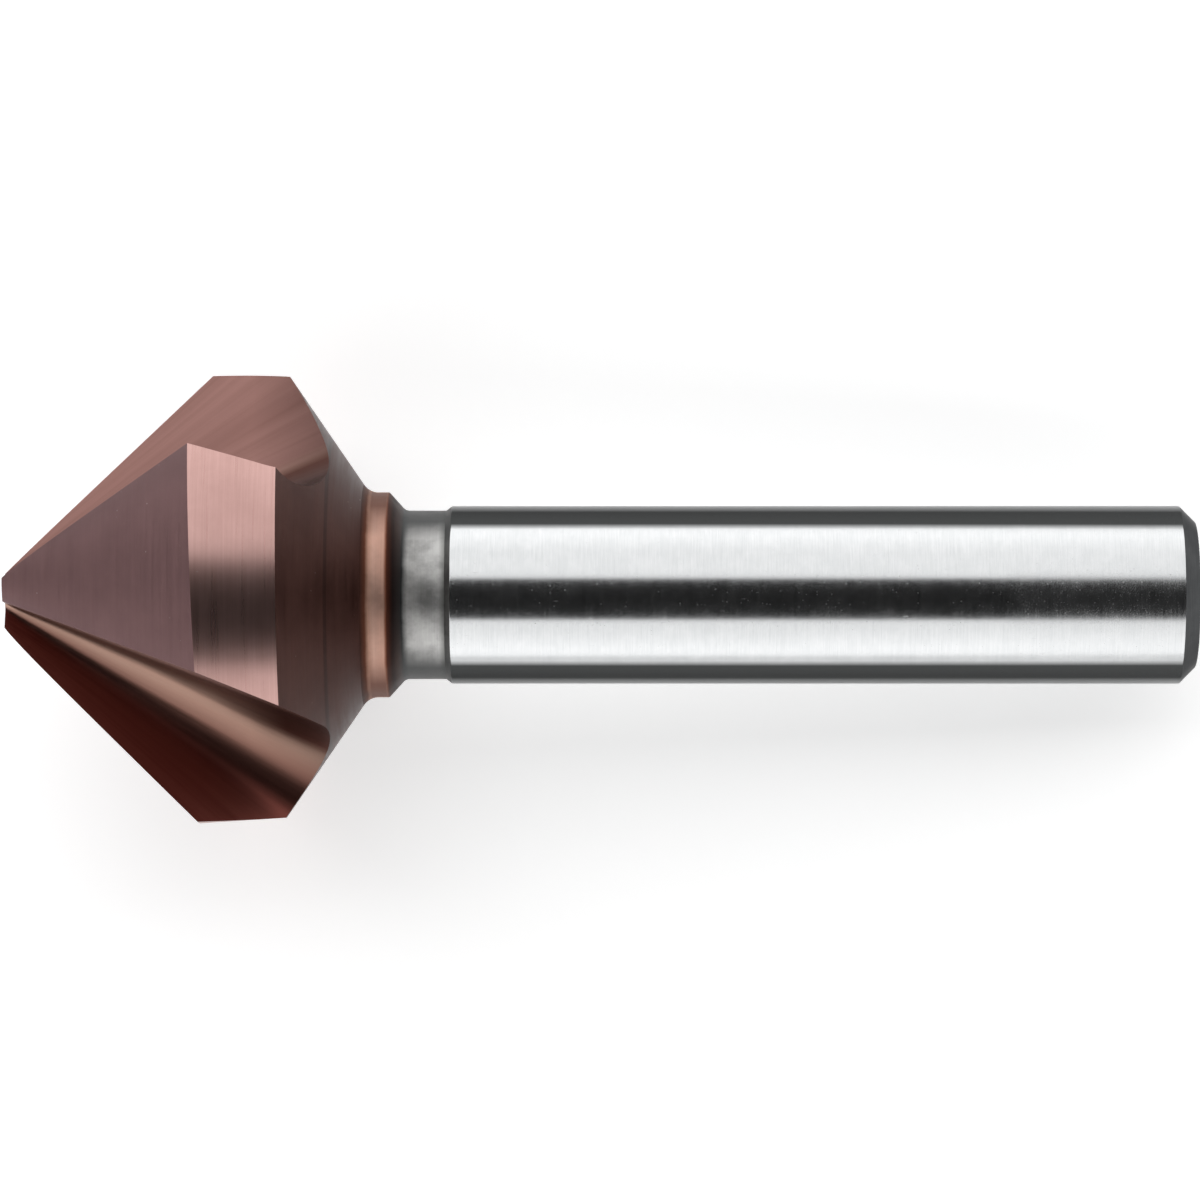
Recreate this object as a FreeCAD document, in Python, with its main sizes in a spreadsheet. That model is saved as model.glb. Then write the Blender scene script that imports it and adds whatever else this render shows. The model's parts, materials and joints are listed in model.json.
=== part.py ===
import FreeCAD, Part
import math
import os

import Sketcher
from FreeCAD import Placement, Rotation, Vector

# Driving sizes, lengths in millimetres and angles in degrees.
# The tool's own axis is X, with the tip face at X = 0 and the shank's end at X = overall_length.
SIZES = {
    "overall_length": 67.0,
    "head_diameter": 25.8,
    "tip_diameter": 3.7,
    "point_angle": 90.0,
    "land_length": 4.85,
    "land_taper": 0.32,
    "back_cone_angle": 55.5,
    "back_fillet": 1.0,
    "collar_diameter": 11.55,
    "collar_length": 1.14,
    "collar_chamfer_angle": 48.0,
    "neck_diameter": 9.5,
    "neck_front_fillet": 0.5,
    "neck_length": 2.28,
    "shank_shoulder_angle": 37.0,
    "shank_diameter": 10.0,
    "shank_end_chamfer": 0.9,
    "tooth_count": 3,
    "rake_angle": 16.4,
    "flute_opening_angle": 67.5,
    "tip_rake_offset": 0.8,
    "rim_rake_offset": 3.64,
    "tip_root_depth": 0.15,
    "rim_root_depth": 3.67,
    "tip_root_radius": 0.35,
    "rim_root_radius": 3.35,
    "cone_relief": 0.82,
    "land_relief": 0.24,
    "relief_phase": 60.0,
}

# Expressions that several features share, worked out from the sizes.
HEAD_RADIUS = "Sizes.head_diameter / 2"
TIP_RADIUS = "Sizes.tip_diameter / 2"
SHANK_RADIUS = "Sizes.shank_diameter / 2"
NECK_RADIUS = "Sizes.neck_diameter / 2"
COLLAR_RADIUS = "Sizes.collar_diameter / 2"
CONE_LENGTH = f"(({HEAD_RADIUS} - {TIP_RADIUS}) / tan(Sizes.point_angle / 2))"
LAND_END = f"({CONE_LENGTH} + Sizes.land_length)"
LAND_END_RADIUS = f"({HEAD_RADIUS} - Sizes.land_taper)"
BACK_SLOPE = "tan(Sizes.back_cone_angle)"
BACK_CONE_FOOT = f"({LAND_END} + ({LAND_END_RADIUS} - {COLLAR_RADIUS}) / {BACK_SLOPE})"
COLLAR_END = f"({BACK_CONE_FOOT} + Sizes.collar_length)"
COLLAR_DROP = f"(({COLLAR_RADIUS} - {NECK_RADIUS}) / tan(Sizes.collar_chamfer_angle))"
NECK_FRONT = f"({COLLAR_END} + {COLLAR_DROP})"
NECK_END = f"({NECK_FRONT} + Sizes.neck_length)"
SHOULDER = f"(({SHANK_RADIUS} - {NECK_RADIUS}) / tan(Sizes.shank_shoulder_angle))"
TOOTH_PITCH = "(360 / Sizes.tooth_count)"

# A tooth and the flute behind it share the pitch evenly, so the middle of each is a quarter
# pitch from the cutting edge.
QUARTER_PITCH = f"({TOOTH_PITCH} / 4)"

# Working allowances that leave no trace: the stock that the blank keeps for grinding, the
# radius beyond it that a wheel sweeps, and how far a cutter starts before the tip.
GRINDING_STOCK = "Sizes.land_relief"
BLANK_RADIUS = f"({HEAD_RADIUS} + {GRINDING_STOCK})"
CLEAR_RADIUS = f"({BLANK_RADIUS} + 2 * Sizes.cone_relief)"
CUTTER_OVERRUN = "(Sizes.tip_root_radius / 2)"

NODE_NAME = "countersink_bit"
TOOL_AXIS = Vector(1, 0, 0)
MATCH_TOLERANCE = 0.01
SETTLING_PASSES = 20


def fill_sheet(document):
    """Put every driving size in the sheet, one row each, with its name as the alias."""
    sheet = document.addObject("Spreadsheet::Sheet", "Sizes")
    for row, (alias, value) in enumerate(SIZES.items(), start=1):
        sheet.set(f"A{row}", alias)
        sheet.set(f"B{row}", str(value))
        sheet.setAlias(f"B{row}", alias)
    document.recompute()
    return sheet


def origin_feature(body, role):
    """Return the body's own origin plane or axis that has the role."""
    for feature in body.Origin.OriginFeatures:
        if feature.Role == role:
            return feature
    raise ValueError(f"no origin feature {role}")


def new_sketch(body, name, plane, offset=Placement()):
    """Add a sketch on one of the body's origin planes."""
    sketch = body.newObject("Sketcher::SketchObject", name)
    sketch.AttachmentSupport = [(origin_feature(body, plane), "")]
    sketch.MapMode = "FlatFace"
    sketch.AttachmentOffset = offset
    return sketch


def bind(sketch, constraint, name, expression):
    """Add a named driving constraint whose value follows the expression."""
    index = sketch.addConstraint(constraint)
    sketch.renameConstraint(index, name)
    sketch.setExpression(f"Constraints.{name}", expression)


def evaluate(sheet, expression):
    """Work an expression on the sheet out now, as a first value for a sketch."""
    return float(sheet.evalExpression(expression))


def draw_polygon(sketch, sheet, corners):
    """Draw a closed outline and fix each corner by its expressions; None is on the axis."""
    places = {}
    for name, along, out in corners:
        x_value = 0.0 if along is None else evaluate(sheet, along)
        y_value = 0.0 if out is None else evaluate(sheet, out)
        places[name] = Vector(x_value, y_value, 0)
    names = [corner[0] for corner in corners]
    for name, following in zip(names, names[1:] + names[:1]):
        sketch.addGeometry(Part.LineSegment(places[name], places[following]), False)
    count = len(corners)
    for index in range(count):
        sketch.addConstraint(Sketcher.Constraint("Coincident", index, 2, (index + 1) % count, 1))
    for index, (name, along, out) in enumerate(corners):
        if along is None:
            sketch.addConstraint(Sketcher.Constraint("PointOnObject", index, 1, -2))
        else:
            distance = Sketcher.Constraint("DistanceX", -1, 1, index, 1, places[name].x)
            bind(sketch, distance, f"{name}_along", along)
        if out is None:
            sketch.addConstraint(Sketcher.Constraint("PointOnObject", index, 1, -1))
        else:
            distance = Sketcher.Constraint("DistanceY", -1, 1, index, 1, places[name].y)
            bind(sketch, distance, f"{name}_out", out)


def require_change(before, after, sign, name):
    """Stop when a feature has not added or removed material as it should."""
    if sign * (after - before) <= 0:
        raise RuntimeError(f"{name} changed nothing")


def circle_edges(shape, along, radius):
    """Name the edges that are circles about the tool's axis at a station and radius."""
    found = []
    for index, edge in enumerate(shape.Edges, start=1):
        curve = edge.Curve
        if not isinstance(curve, Part.Circle):
            continue
        on_station = abs(curve.Center.x - along) < MATCH_TOLERANCE
        if on_station and abs(curve.Radius - radius) < MATCH_TOLERANCE:
            found.append(f"Edge{index}")
    if not found:
        raise RuntimeError(f"no circular edge at {along:.2f} with radius {radius:.2f}")
    return found


def turned_blank(document, body, sheet):
    """Turn the blank: cone and land with grinding stock, back cone, collar, neck and shank."""
    stock_end = f"{LAND_END} - ({GRINDING_STOCK} + Sizes.land_taper) / {BACK_SLOPE}"
    corners = [
        ("axis_front", None, None),
        ("tip_rim", None, f"{TIP_RADIUS} + {GRINDING_STOCK}"),
        ("head_rim", CONE_LENGTH, BLANK_RADIUS),
        ("land_rear", stock_end, BLANK_RADIUS),
        ("cone_foot", BACK_CONE_FOOT, COLLAR_RADIUS),
        ("collar_rear", COLLAR_END, COLLAR_RADIUS),
        ("neck_front", NECK_FRONT, NECK_RADIUS),
        ("neck_rear", NECK_END, NECK_RADIUS),
        ("shank_front", f"{NECK_END} + {SHOULDER}", SHANK_RADIUS),
        ("shank_rear", "Sizes.overall_length", SHANK_RADIUS),
        ("axis_rear", "Sizes.overall_length", None),
    ]
    profile = new_sketch(body, "BlankProfile", "XY_Plane")
    draw_polygon(profile, sheet, corners)
    blank = body.newObject("PartDesign::Revolution", "Blank")
    blank.Profile = profile
    blank.ReferenceAxis = (profile, ["H_Axis"])
    blank.Angle = 360
    document.recompute()
    require_change(0, blank.Shape.Volume, 1, "Blank")
    return blank


def round_corner(document, body, sheet, name, station, radius, size_name):
    """Fill the hollow corner that runs round the blank at a station and radius."""
    before = body.Tip
    fillet = body.newObject("PartDesign::Fillet", name)
    edges = circle_edges(before.Shape, evaluate(sheet, station), evaluate(sheet, radius))
    fillet.Base = (before, edges)
    fillet.setExpression("Radius", f"Sizes.{size_name}")
    document.recompute()
    require_change(before.Shape.Volume, fillet.Shape.Volume, 1, name)


def chamfer_shank(document, body, sheet):
    """Chamfer the shank's end."""
    before = body.Tip
    chamfer = body.newObject("PartDesign::Chamfer", "ShankEndChamfer")
    length = evaluate(sheet, "Sizes.overall_length")
    edges = circle_edges(before.Shape, length, evaluate(sheet, SHANK_RADIUS))
    chamfer.Base = (before, edges)
    chamfer.setExpression("Size", "Sizes.shank_end_chamfer")
    document.recompute()
    require_change(before.Shape.Volume, chamfer.Shape.Volume, -1, "ShankEndChamfer")


def build_blank(document, body, sheet):
    """Turn the blank, round the foot of its back cone and the neck, and chamfer its end."""
    turned_blank(document, body, sheet)
    round_corner(document, body, sheet, "BackFillet", BACK_CONE_FOOT, COLLAR_RADIUS, "back_fillet")
    round_corner(document, body, sheet, "NeckFillet", NECK_FRONT, NECK_RADIUS, "neck_front_fillet")
    chamfer_shank(document, body, sheet)


def between_tip_and_rim(quantity, station):
    """Return a flute size at a station, in line with its sizes at the tip and at the rim."""
    at_tip = f"Sizes.tip_{quantity}"
    at_rim = f"Sizes.rim_{quantity}"
    return f"({at_tip} + ({at_rim} - {at_tip}) * ({station}) / {CONE_LENGTH})"


def draw_flute(sketch, corner, radius, opening, reach):
    """Draw the rake wall, rim line, heel wall and root arc, and the corner the walls point at."""
    setback = radius / math.tan(opening / 2)
    heel_way = Vector(math.cos(opening), -math.sin(opening), 0)
    rake_near = corner + Vector(setback, 0, 0)
    rake_far = corner + Vector(reach, 0, 0)
    heel_near = corner + heel_way * setback
    heel_far = corner + heel_way * reach
    circle = Part.Circle(rake_near - Vector(0, radius, 0), Vector(0, 0, 1), radius)
    arc_start = math.pi / 2
    arc_end = 3 * math.pi / 2 - opening
    rake_line = sketch.addGeometry(Part.LineSegment(rake_near, rake_far), False)
    rim_line = sketch.addGeometry(Part.LineSegment(rake_far, heel_far), False)
    heel_line = sketch.addGeometry(Part.LineSegment(heel_far, heel_near), False)
    root_arc = sketch.addGeometry(Part.ArcOfCircle(circle, arc_start, arc_end), False)
    root_point = sketch.addGeometry(Part.Point(corner), True)
    return rake_line, rim_line, heel_line, root_arc, root_point


def join_flute(sketch, outline):
    """Close the flute's outline, with the root arc tangent to both walls."""
    rake_line, rim_line, heel_line, root_arc, root_point = outline
    sketch.addConstraint(Sketcher.Constraint("Tangent", root_arc, 1, rake_line, 1))
    sketch.addConstraint(Sketcher.Constraint("Tangent", heel_line, 2, root_arc, 2))
    sketch.addConstraint(Sketcher.Constraint("Coincident", rake_line, 2, rim_line, 1))
    sketch.addConstraint(Sketcher.Constraint("Coincident", rim_line, 2, heel_line, 1))
    sketch.addConstraint(Sketcher.Constraint("Horizontal", rake_line))
    sketch.addConstraint(Sketcher.Constraint("PointOnObject", root_point, 1, rake_line))
    sketch.addConstraint(Sketcher.Constraint("PointOnObject", root_point, 1, heel_line))


def flute_section(body, sheet, name, station):
    """Draw the flute across the tool: flat rake wall, root arc and flat heel wall.

    The sketch's own X runs outwards along the rake wall of the first tooth, so the wall is a
    horizontal line, and the heel wall of the tooth in front leaves it by the opening angle.
    """
    sketch = new_sketch(body, name, "YZ_Plane")
    sketch.setExpression(".AttachmentOffset.Base.z", station)
    sketch.setExpression(".AttachmentOffset.Rotation.Angle", "-Sizes.rake_angle")

    depth = evaluate(sheet, between_tip_and_rim("root_depth", station))
    rake = evaluate(sheet, between_tip_and_rim("rake_offset", station))
    radius = evaluate(sheet, between_tip_and_rim("root_radius", station))
    opening = math.radians(evaluate(sheet, "Sizes.flute_opening_angle"))
    reach = evaluate(sheet, "Sizes.head_diameter")
    outline = draw_flute(sketch, Vector(depth, rake, 0), radius, opening, reach)
    join_flute(sketch, outline)

    rake_line, _, heel_line, root_arc, root_point = outline
    place = Sketcher.Constraint("DistanceX", -1, 1, root_point, 1, depth)
    bind(sketch, place, "root_depth", between_tip_and_rim("root_depth", station))
    place = Sketcher.Constraint("DistanceY", -1, 1, root_point, 1, rake)
    bind(sketch, place, "rake_offset", between_tip_and_rim("rake_offset", station))
    bend = Sketcher.Constraint("Radius", root_arc, radius)
    bind(sketch, bend, "root_radius", between_tip_and_rim("root_radius", station))
    turn = Sketcher.Constraint("Angle", rake_line, 1, heel_line, 2, -opening)
    bind(sketch, turn, "opening", "-Sizes.flute_opening_angle")
    along = Sketcher.Constraint("Distance", root_point, 1, rake_line, 2, reach)
    bind(sketch, along, "rake_reach", "Sizes.head_diameter")
    along = Sketcher.Constraint("Distance", root_point, 1, heel_line, 1, reach)
    bind(sketch, along, "heel_reach", "Sizes.head_diameter")
    return sketch


def cut_flute(document, body, sheet):
    """Cut one flute as a straight taper from before the tip to the foot of the back cone."""
    before = body.Tip.Shape.Volume
    front = flute_section(body, sheet, "FluteFront", f"-{CUTTER_OVERRUN}")
    rear = flute_section(body, sheet, "FluteRear", BACK_CONE_FOOT)
    document.recompute()
    flute = body.newObject("PartDesign::SubtractiveLoft", "Flute")
    flute.Profile = front
    flute.Sections = [rear]
    flute.Ruled = True
    document.recompute()
    require_change(before, flute.Shape.Volume, -1, "Flute")
    return flute


def offset_radius(radius, angle, relief):
    """Return the distance from a relief axis to a point of the tooth, given as radius and angle."""
    cosine = f"cos({angle} + Sizes.relief_phase * 1 deg)"
    return f"sqrt(({radius}) ^ 2 + {relief} ^ 2 - 2 * ({radius}) * {relief} * {cosine})"


def relief_sketch(body, sheet, name, relief):
    """Add a sketch in the plane through a relief axis, turned to the middle of the first tooth.

    The relief axis is parallel to the tool's axis and set off from it against the cutting
    direction, so that a surface about it falls away behind the cutting edge.
    """
    offset = Placement(Vector(), Rotation(TOOL_AXIS, evaluate(sheet, QUARTER_PITCH)))
    sketch = new_sketch(body, name, "XY_Plane", offset)
    sketch.setExpression(".AttachmentOffset.Base.y", f"{relief} * cos(Sizes.relief_phase)")
    sketch.setExpression(".AttachmentOffset.Base.z", f"-{relief} * sin(Sizes.relief_phase)")
    sketch.setExpression(".AttachmentOffset.Rotation.Angle", QUARTER_PITCH)
    return sketch


def grind_relief(document, body, name, profile):
    """Grind one tooth's flank about its relief axis, over one tooth pitch."""
    before = body.Tip.Shape.Volume
    groove = body.newObject("PartDesign::Groove", name)
    groove.Profile = profile
    groove.ReferenceAxis = (profile, ["H_Axis"])
    groove.setExpression("Angle", TOOTH_PITCH)
    groove.Midplane = True
    document.recompute()
    require_change(before, groove.Shape.Volume, -1, name)
    return groove


def grind_cone(document, body, sheet):
    """Relieve the conical flank through both ends of the cutting edge."""
    tip_turn = f"acos(Sizes.tip_rake_offset / ({TIP_RADIUS}))"
    tip_angle = f"(90 deg - Sizes.rake_angle * 1 deg - {tip_turn})"
    tip_distance = offset_radius(TIP_RADIUS, tip_angle, "Sizes.cone_relief")
    rim_distance = offset_radius(HEAD_RADIUS, "0 deg", "Sizes.cone_relief")
    slope = f"(({rim_distance} - {tip_distance}) / {CONE_LENGTH})"
    run_out = f"{CONE_LENGTH} + ({CLEAR_RADIUS} - {rim_distance}) / {slope}"
    corners = [
        ("flank_front", f"-{CUTTER_OVERRUN}",
         f"{tip_distance} - {CUTTER_OVERRUN} * {slope}"),
        ("flank_rear", run_out, CLEAR_RADIUS),
        ("clear_front", f"-{CUTTER_OVERRUN}", CLEAR_RADIUS),
    ]
    profile = relief_sketch(body, sheet, "ConeReliefProfile", "Sizes.cone_relief")
    draw_polygon(profile, sheet, corners)
    return grind_relief(document, body, "ConeRelief", profile)


def grind_land(document, body, sheet):
    """Relieve the land behind the rim, with its slight taper towards the shank."""
    rim_distance = offset_radius(HEAD_RADIUS, "0 deg", "Sizes.land_relief")
    end_distance = offset_radius(LAND_END_RADIUS, "0 deg", "Sizes.land_relief")
    slope = f"(({rim_distance} - {end_distance}) / Sizes.land_length)"
    margin = "Sizes.land_length / 2"
    corners = [
        ("land_front", f"{CONE_LENGTH} - {margin}", f"{rim_distance} + {margin} * {slope}"),
        ("land_rear", f"{LAND_END} + {margin}", f"{end_distance} - {margin} * {slope}"),
        ("clear_rear", f"{LAND_END} + {margin}", CLEAR_RADIUS),
        ("clear_front", f"{CONE_LENGTH} - {margin}", CLEAR_RADIUS),
    ]
    profile = relief_sketch(body, sheet, "LandReliefProfile", "Sizes.land_relief")
    draw_polygon(profile, sheet, corners)
    return grind_relief(document, body, "LandRelief", profile)


def repeat_teeth(document, body, features):
    """Repeat one tooth's cuts round the tool's axis."""
    before = body.Tip.Shape.Volume
    pattern = body.newObject("PartDesign::PolarPattern", "Teeth")
    pattern.Originals = features
    pattern.Axis = (origin_feature(body, "X_Axis"), [""])
    pattern.Angle = 360
    pattern.setExpression("Occurrences", "Sizes.tooth_count")
    body.Tip = pattern
    document.recompute()
    require_change(before, pattern.Shape.Volume, -1, "Teeth")
    return pattern


def deepest_corner(corners, down, side):
    """Return the head's corner that reaches furthest down, on one side of the way down."""
    across = down.cross(TOOL_AXIS) * side
    beside = [corner for corner in corners if corner.dot(across) > 0]
    return max(beside, key=down.dot)


def floor_normal(shape, sheet):
    """Find the way down, square to the floor plane that the tool comes to rest on.

    The tool lies on one corner of each tooth beside its first flute and on the circle where
    the shank's end chamfer starts. The first guess is square to the axis, in the middle of
    the flute, and each pass takes the corners that lie deepest and the plane through them.
    """
    chamfer_start = evaluate(sheet, "Sizes.overall_length - Sizes.shank_end_chamfer")
    shank_radius = evaluate(sheet, SHANK_RADIUS)
    head_end = evaluate(sheet, BACK_CONE_FOOT)
    corners = [vertex.Point for vertex in shape.Vertexes if vertex.Point.x < head_end]
    flute_middle = -math.radians(evaluate(sheet, QUARTER_PITCH))
    down = Vector(0, math.cos(flute_middle), math.sin(flute_middle))
    for _ in range(SETTLING_PASSES):
        edge_corner = deepest_corner(corners, down, 1)
        heel_corner = deepest_corner(corners, down, -1)
        radial = Vector(0, down.y, down.z).normalize()
        shank_point = TOOL_AXIS * chamfer_start + radial * shank_radius
        down = (edge_corner - shank_point).cross(heel_corner - shank_point).normalize()
        if down.dot(radial) < 0:
            down = down * -1
    return down


def resting_placement(shape, sheet):
    """Lay the tool on a level floor, tip towards -X, with its box centred over the origin."""
    up_way = floor_normal(shape, sheet) * -1
    long_way = (TOOL_AXIS - up_way * TOOL_AXIS.dot(up_way)).normalize()
    side_way = up_way.cross(long_way)
    turn = Rotation(long_way, side_way, up_way, "ZXY").inverted()
    turned = shape.copy()
    turned.Placement = Placement(Vector(), turn)
    box = turned.optimalBoundingBox()
    return Placement(Vector(-box.Center.x, -box.Center.y, -box.ZMin), turn)


def build_tool(document, sheet):
    """Build the countersink as one body, lying as it comes to rest."""
    body = document.addObject("PartDesign::Body", "CountersinkBit")
    body.Label = NODE_NAME
    build_blank(document, body, sheet)
    flute = cut_flute(document, body, sheet)
    cone = grind_cone(document, body, sheet)
    land = grind_land(document, body, sheet)
    repeat_teeth(document, body, [flute, cone, land])
    body.Placement = resting_placement(body.Shape, sheet)
    document.recompute()
    return body


def check_document(document):
    """Stop when any object of the document has failed or has no sound shape."""
    for item in document.Objects:
        if "Invalid" in item.State or "Error" in item.State:
            raise RuntimeError(f"{item.Name} failed: {item.State}")
    for item in document.Objects:
        if item.TypeId == "PartDesign::Body":
            shape = item.Shape
            if shape.isNull() or not shape.isValid() or len(shape.Solids) != 1:
                raise RuntimeError(f"{item.Label} is not one valid solid")


def main():
    """Build the document, check it and write each sub-part's solid."""
    document = FreeCAD.newDocument("Countersink")
    sheet = fill_sheet(document)
    body = build_tool(document, sheet)
    check_document(document)
    os.makedirs("parts", exist_ok=True)
    body.Shape.exportStep(f"parts/{body.Label}.step")
    box = body.Shape.optimalBoundingBox()
    print(f"{body.Label}: {body.Shape.Volume:.1f} mm3, "
          f"{box.XLength:.2f} x {box.YLength:.2f} x {box.ZLength:.2f} mm")


main()
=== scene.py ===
"""A three-flute countersink bit with a coated head, lying on a pale floor."""
import json
import logging
import math
from dataclasses import dataclass, field
from enum import Enum
from typing import Optional, Union

import bmesh
import bpy
from mathutils import Matrix, Vector


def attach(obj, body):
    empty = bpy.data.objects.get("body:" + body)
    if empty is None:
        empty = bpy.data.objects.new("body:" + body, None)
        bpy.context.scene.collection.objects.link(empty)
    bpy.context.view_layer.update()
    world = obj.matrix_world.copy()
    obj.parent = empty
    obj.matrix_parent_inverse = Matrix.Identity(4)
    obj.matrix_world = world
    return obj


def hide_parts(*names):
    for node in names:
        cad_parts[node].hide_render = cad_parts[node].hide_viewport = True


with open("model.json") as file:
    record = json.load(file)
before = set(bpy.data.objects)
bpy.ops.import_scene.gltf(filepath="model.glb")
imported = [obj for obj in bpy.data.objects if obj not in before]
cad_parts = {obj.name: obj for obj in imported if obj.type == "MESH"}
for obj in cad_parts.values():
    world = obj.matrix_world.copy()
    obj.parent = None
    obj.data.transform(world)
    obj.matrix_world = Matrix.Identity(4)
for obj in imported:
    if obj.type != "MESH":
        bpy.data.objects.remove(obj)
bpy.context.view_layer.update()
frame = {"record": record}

logging.basicConfig(level=logging.INFO, format="%(message)s")
LOG = logging.getLogger("countersink")

NODE = "countersink_bit"
BODY = "root"

MM = 0.001
FULL_TURN = 2 * math.pi
ROUND_STEPS = 360
MERGE_DISTANCE = 1e-6
SHARP_ANGLE = math.radians(24)
CUTTER_OVERRUN = 0.175
ACROSS_FLUTE = "across_flute"

Triple = tuple[float, float, float]
Colour = Triple
Span = tuple[float, float]
Socket = bpy.types.NodeSocket
Value = Union[Socket, float, Colour]


class Surface(Enum):
    """The surfaces of the tool that have a finish of their own, by material slot."""

    CONE_FLANK = 0
    LAND = 1
    FLUTE = 2
    BACK_CONE = 3
    COLLAR = 4
    SHANK = 5
    SHANK_END = 6
    END_FACE = 7


@dataclass
class RestingPlace:
    """Where the tool's own axis lies when the tool rests on the floor.

    In the tool's own frame X runs from the tip face to the shank's end, in millimetres, and
    angles round it start at the first cutting edge. The down angle points to the floor.
    """

    record: dict
    tool_length: float
    down_angle: float = math.radians(-24.907310)

    def matrix(self) -> Matrix:
        """Work out the tool's place from the mount on its end face.

        Returns:
            The matrix from the tool's frame, in millimetres, to the row's, in metres.
        """
        mounts = {mount["name"]: mount for mount in self.record["mounts"]}
        axis = Vector(mounts["shank_end"]["axis"]).normalized()
        tip = Vector(mounts["shank_end"]["pos_m"]) - axis * self.tool_length * MM
        down = Vector((0, 0, -1))
        down = (down - axis * down.dot(axis)).normalized()
        beside = axis.cross(down)
        side_y = down * math.cos(self.down_angle) - beside * math.sin(self.down_angle)
        side_z = axis.cross(side_y)
        turn = Matrix((axis, side_y, side_z)).transposed().to_4x4()
        return Matrix.Translation(tip) @ turn @ Matrix.Scale(MM, 4)


def around(along: float, radius: float, angle: float) -> Vector:
    """Return the point at a station, radius and angle (in radians) about the tool's axis."""
    return Vector((along, radius * math.cos(angle), radius * math.sin(angle)))


@dataclass
class HeadSizes:
    """The fluted head's sizes, in millimetres and degrees."""

    head_diameter: float = 25.8
    tip_diameter: float = 3.7
    point_angle: float = 90.0
    land_length: float = 4.85
    land_taper: float = 0.32
    back_cone_angle: float = 55.5
    tooth_count: int = 3
    rake_angle: float = 16.4
    flute_opening_angle: float = 67.5
    tip_rake_offset: float = 0.8
    rim_rake_offset: float = 3.64
    tip_root_depth: float = 0.15
    rim_root_depth: float = 3.67
    tip_root_radius: float = 0.35
    rim_root_radius: float = 3.35
    cone_relief: float = 0.82
    land_relief: float = 0.24
    relief_phase: float = 60.0

    @property
    def head_radius(self) -> float:
        """Return the radius at the rim's cutting corners."""
        return self.head_diameter / 2

    @property
    def tip_radius(self) -> float:
        """Return the radius of the tip face."""
        return self.tip_diameter / 2

    @property
    def cone_length(self) -> float:
        """Return the distance from the tip face to the rim."""
        return (self.head_radius - self.tip_radius) / math.tan(math.radians(self.point_angle / 2))

    @property
    def land_end(self) -> float:
        """Return the distance from the tip face to the land's rear edge."""
        return self.cone_length + self.land_length

    @property
    def land_end_radius(self) -> float:
        """Return the radius at the land's rear cutting corner."""
        return self.head_radius - self.land_taper

    @property
    def back_slope(self) -> float:
        """Return how much the back cone narrows for each millimetre along."""
        return math.tan(math.radians(self.back_cone_angle))

    @property
    def stock_radius(self) -> float:
        """Return the blank's radius before its flanks are ground."""
        return self.head_radius + self.land_relief

    @property
    def clear_radius(self) -> float:
        """Return a radius outside everything that the grinding takes away."""
        return self.stock_radius + 2 * self.cone_relief


@dataclass(frozen=True)
class Rounding:
    """How a corner of the turned outline is rounded, in millimetres and steps."""

    radius: float = 0.0
    steps: int = 0


@dataclass
class ShankSizes:
    """The sizes from the back cone's foot to the shank's end, in millimetres and degrees."""

    overall_length: float = 67.0
    back_fillet: Rounding = Rounding(1.0, 14)
    collar_diameter: float = 11.55
    collar_length: float = 1.14
    collar_edge: Rounding = Rounding(0.12, 5)
    collar_chamfer_angle: float = 48.0
    neck_diameter: float = 9.5
    neck_front_fillet: Rounding = Rounding(0.5, 9)
    neck_length: float = 2.28
    shoulder_angle: float = 37.0
    shoulder_edge: Rounding = Rounding(0.15, 4)
    shank_diameter: float = 10.0
    end_chamfer: float = 0.9
    end_edge: Rounding = Rounding(0.08, 4)


@dataclass
class ProfileCorner:
    """A corner of the turned outline."""

    along: float
    radius: float
    rounding: Rounding = Rounding()

    @property
    def point(self) -> Vector:
        """Return the corner in the plane of the outline."""
        return Vector((self.along, self.radius))


def rounded_outline(corners: list[ProfileCorner]) -> list[Vector]:
    """Round the corners of an open outline.

    Args:
        corners: The outline's corners in order; the first and last stay sharp.

    Returns:
        The outline's points, along and out.
    """
    points = []
    for index, corner in enumerate(corners):
        radius, steps = corner.rounding.radius, corner.rounding.steps
        if steps == 0:
            points.append(corner.point)
            continue
        before = (corners[index - 1].point - corner.point).normalized()
        after = (corners[index + 1].point - corner.point).normalized()
        half = before.angle(after) / 2
        centre = corner.point + (before + after).normalized() * radius / math.sin(half)
        start = corner.point + before * radius / math.tan(half) - centre
        end = corner.point + after * radius / math.tan(half) - centre
        inner = [start.slerp(end, step / steps) for step in range(1, steps)]
        points += [centre + spoke.normalized() * radius for spoke in (start, *inner, end)]
    return points


def mesh_object(name: str, build: bmesh.types.BMesh) -> bpy.types.Object:
    """Turn a bmesh into an object with outward faces.

    Args:
        name: The object's name.
        build: The shape, which is freed.

    Returns:
        The linked object.
    """
    bmesh.ops.remove_doubles(build, verts=build.verts, dist=MERGE_DISTANCE)
    bmesh.ops.recalc_face_normals(build, faces=build.faces)
    mesh = bpy.data.meshes.new(name)
    build.to_mesh(mesh)
    build.free()
    thing = bpy.data.objects.new(name, mesh)
    bpy.context.scene.collection.objects.link(thing)
    return thing


def skinned(name: str, rings: list[list[Vector]]) -> bpy.types.Object:
    """Join closed rings of points, each to the next, and cap both ends.

    Args:
        name: The object's name.
        rings: Rings with the same number of points each.

    Returns:
        The closed shape as a linked object.
    """
    build = bmesh.new()
    rows = [[build.verts.new(point) for point in ring] for ring in rings]
    for lower, upper in zip(rows, rows[1:]):
        count = len(lower)
        for index in range(count):
            following = (index + 1) % count
            build.faces.new((lower[index], lower[following], upper[following], upper[index]))
    build.faces.new(rows[0])
    build.faces.new(rows[-1])
    return mesh_object(name, build)


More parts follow.
